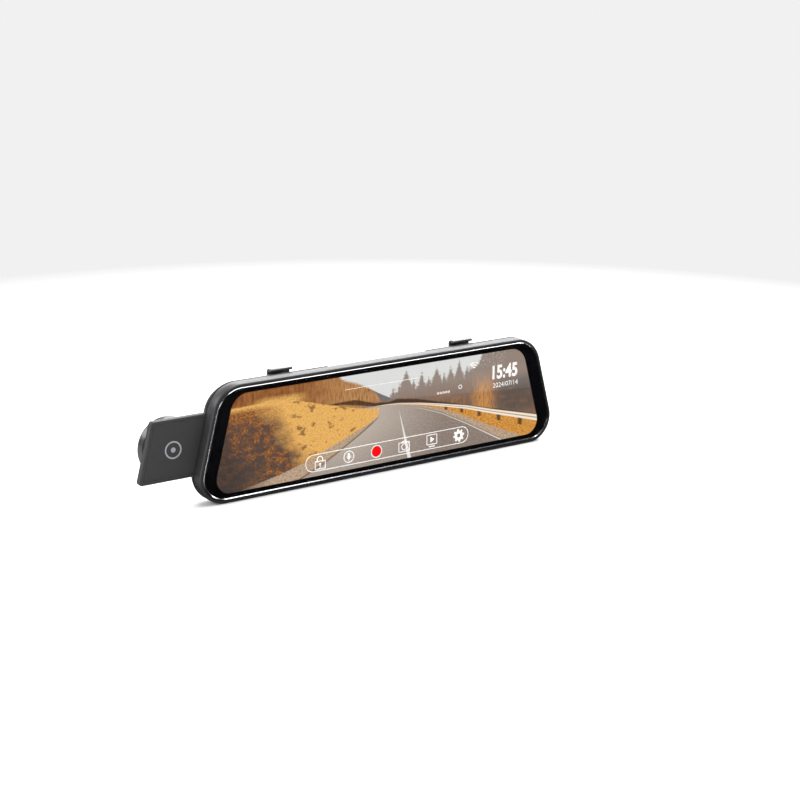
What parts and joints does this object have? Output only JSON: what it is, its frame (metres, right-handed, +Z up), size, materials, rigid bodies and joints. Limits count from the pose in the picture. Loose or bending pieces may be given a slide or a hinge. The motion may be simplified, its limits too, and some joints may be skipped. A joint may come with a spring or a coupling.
{
  "type": "dash camera",
  "caption": "Mirror-shaped dash camera: a wide leaning screen unit with strap hooks behind, top ports and a camera with a tilting lens on a slide-out arm.",
  "frame": {"origin": "centre of the plane where the two rest pads press on the car's own mirror, midway between them", "axes": "+X along the width, to the right of someone reading the screen; +Y towards the windscreen, away from the reader; +Z up. The screen faces -Y."},
  "size_m": [0.2864, 0.0311, 0.073],
  "materials": {
    "frame": "satin black moulded plastic",
    "ring": "polished bright ring",
    "mirror_glass": "tinted half-mirror glass with a black border",
    "gasket": "black adhesive foam",
    "display": "lit display panel",
    "backlight": "satin",
    "plate": "stamped steel",
    "shell": "satin charcoal plastic",
    "mesh": "fine black acoustic mesh",
    "soft_touch": "soft-touch rubber with a fine grain",
    "screw": "zinc-plated",
    "board": "green solder mask",
    "chip": "moulded epoxy",
    "alloy": "bare",
    "copper": "copper and solder",
    "cell": "grey pouch film",
    "connector": "ivory nylon",
    "socket": "nickel-plated shell",
    "socket_black": "black nylon",
    "button": "satin black",
    "barrel": "satin black anodised",
    "lens": "purple-coated lens glass",
    "sensor": "sensor window"
  },
  "bodies": {
    "housing": {"front_frame": "frame", "bezel_ring": "ring", "mirror_glass": "mirror_glass", "display_gasket": "gasket", "display_panel": "display", "backlight": "backlight", "mid_plate": "plate", "back_shell": "shell", "speaker_panel": "shell", "grille_mesh": "mesh", "speaker_basket": "socket_black", "speaker_cone": "alloy", "strap_bracket_left": "shell", "strap_bracket_right": "shell", "rest_pad_left": "soft_touch", "rest_pad_right": "soft_touch", "bracket_screws": "screw", "main_board": "board", "board_screws": "screw", "processor": "chip", "heat_spreader": "alloy", "memory_chips": "chip", "board_parts": "copper", "microphone": "alloy", "battery": "cell", "display_ribbon": "copper", "camera_connector": "connector", "usb_port": "socket", "av_port": "socket_black", "card_socket": "socket", "power_switch": "socket", "rail_upper": "frame", "rail_lower": "frame"},
    "power_key": {"power_button": "button"},
    "card": {"memory_card": "chip"},
    "camera_slide": {"slide_plate": "shell", "slide_cover": "frame", "slide_screws": "screw", "camera_ribbon": "copper", "camera_collar": "barrel"},
    "lens_turret": {"lens_ball": "barrel", "lens_barrel": "barrel", "lens_ring": "barrel", "front_lens": "lens", "inner_barrel": "barrel", "rear_lens": "lens", "image_sensor": "sensor", "sensor_board": "board"}
  },
  "joints": [
    {"name": "camera_slide", "type": "slide", "parent": "housing", "child": "camera_slide", "axis": [1, 0, 0], "range_m": [0, 0.035]},
    {"name": "lens_tilt", "type": "hinge", "parent": "camera_slide", "child": "lens_turret", "pos_m": [-0.1382, -0.006, 0], "axis": [1, 0, 0], "range_deg": [-9, 9]},
    {"name": "power_press", "type": "slide", "parent": "housing", "child": "power_key", "axis": [0, 0, -1], "range_m": [0, 0.0006], "stiffness_N_per_m": 1200},
    {"name": "card_eject", "type": "slide", "parent": "housing", "child": "card", "axis": [0, 0, 1], "range_m": [0, 0.016]}
  ]
}
